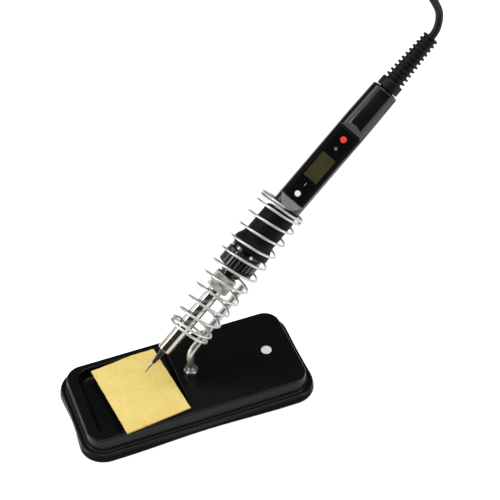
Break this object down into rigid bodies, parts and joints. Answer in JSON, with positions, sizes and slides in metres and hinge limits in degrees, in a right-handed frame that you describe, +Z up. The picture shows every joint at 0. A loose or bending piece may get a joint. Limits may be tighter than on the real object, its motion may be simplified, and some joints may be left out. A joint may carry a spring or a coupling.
{
  "type": "soldering iron stand",
  "caption": "Bench stand with a pressed steel base, sponge tray and sprung wire holder, with a temperature-controlled soldering iron resting in it.",
  "frame": {"origin": "on the bench, under the middle of the stand and iron without the cord", "axes": "+X from the sponge tray towards the raised handle, +Y to the left of that, +Z up"},
  "size_m": [0.3521, 0.0858, 0.2333],
  "materials": {
    "base_paint": "gloss",
    "foot_rubber": "matt",
    "holder_wire": "polished",
    "holder_rod_steel": "polished",
    "nut_steel": "bright",
    "plug_plastic": "satin",
    "sponge_cellulose": "matt",
    "tip_iron_plate": "heat darkened",
    "barrel_chrome": "polished",
    "nut_knurl": "knurled",
    "heater_ceramic": "matt",
    "collar_plastic": "gloss",
    "grip_rubber": "satin",
    "handle_plastic": "gloss",
    "panel_plastic": "gloss",
    "lcd_glass": "clear",
    "lcd_cell": "satin",
    "board_laminate": "satin",
    "switch_plastic": "matt",
    "button_white": "gloss",
    "button_red": "gloss",
    "screw_steel": "bright",
    "lead_silicone": "satin",
    "relief_rubber": "satin",
    "cord_sheath": "satin",
    "plug_body_plastic": "satin",
    "plug_pin_brass": "bright"
  },
  "bodies": {
    "stand": {"base_shell": "base_paint", "foot_pad_front_left": "foot_rubber", "foot_pad_front_right": "foot_rubber", "foot_pad_back_left": "foot_rubber", "foot_pad_back_right": "foot_rubber", "holder_rod": "holder_rod_steel", "holder_coil": "holder_wire", "rod_top_nut": "nut_steel", "rod_washer": "nut_steel", "rod_bottom_nut": "nut_steel", "hole_plug": "plug_plastic", "cord_tube": "cord_sheath", "cord_coil": "cord_sheath", "cord_lead": "cord_sheath", "plug_body": "plug_body_plastic", "plug_pin_a": "plug_pin_brass", "plug_pin_b": "plug_pin_brass"},
    "sponge_sheet": {"sponge": "sponge_cellulose"},
    "iron": {"soldering_tip": "tip_iron_plate", "heater_barrel": "barrel_chrome", "heater_core": "heater_ceramic", "front_collar": "collar_plastic", "grip_sleeve": "grip_rubber", "handle_lower_shell": "handle_plastic", "handle_upper_shell": "handle_plastic", "panel_cover": "panel_plastic", "lcd_glass": "lcd_glass", "lcd_module": "lcd_cell", "circuit_board": "board_laminate", "minus_switch": "switch_plastic", "plus_switch": "switch_plastic", "handle_screw": "screw_steel", "heater_lead_a": "lead_silicone", "heater_lead_b": "lead_silicone", "strain_relief": "relief_rubber"},
    "barrel_nut": {"barrel_nut": "nut_knurl"},
    "minus_button": {"minus_button": "button_white"},
    "plus_button": {"plus_button": "button_red"}
  },
  "joints": [
    {"name": "iron_lift", "type": "slide", "parent": "stand", "child": "iron", "axis": [0.7379, 0.2256, 0.6361], "range_m": [0, 0.125], "deforming": ["cord_tube"]},
    {"name": "sponge_lift", "type": "slide", "parent": "stand", "child": "sponge_sheet", "axis": [0, 0, 1], "range_m": [0, 0.008]},
    {"name": "barrel_nut_turn", "type": "hinge", "parent": "iron", "child": "barrel_nut", "pos_m": [-0.02011, 0.00264, 0.06783], "axis": [-0.7718, -0.1839, -0.6088], "range_deg": [0, 360]},
    {"name": "minus_press", "type": "slide", "parent": "iron", "child": "minus_button", "axis": [0.3401, 0.6896, -0.6394], "range_m": [0, 0.0004], "stiffness_N_per_m": 1000},
    {"name": "plus_press", "type": "slide", "parent": "iron", "child": "plus_button", "axis": [0.3401, 0.6896, -0.6394], "range_m": [0, 0.0004], "stiffness_N_per_m": 1000}
  ]
}
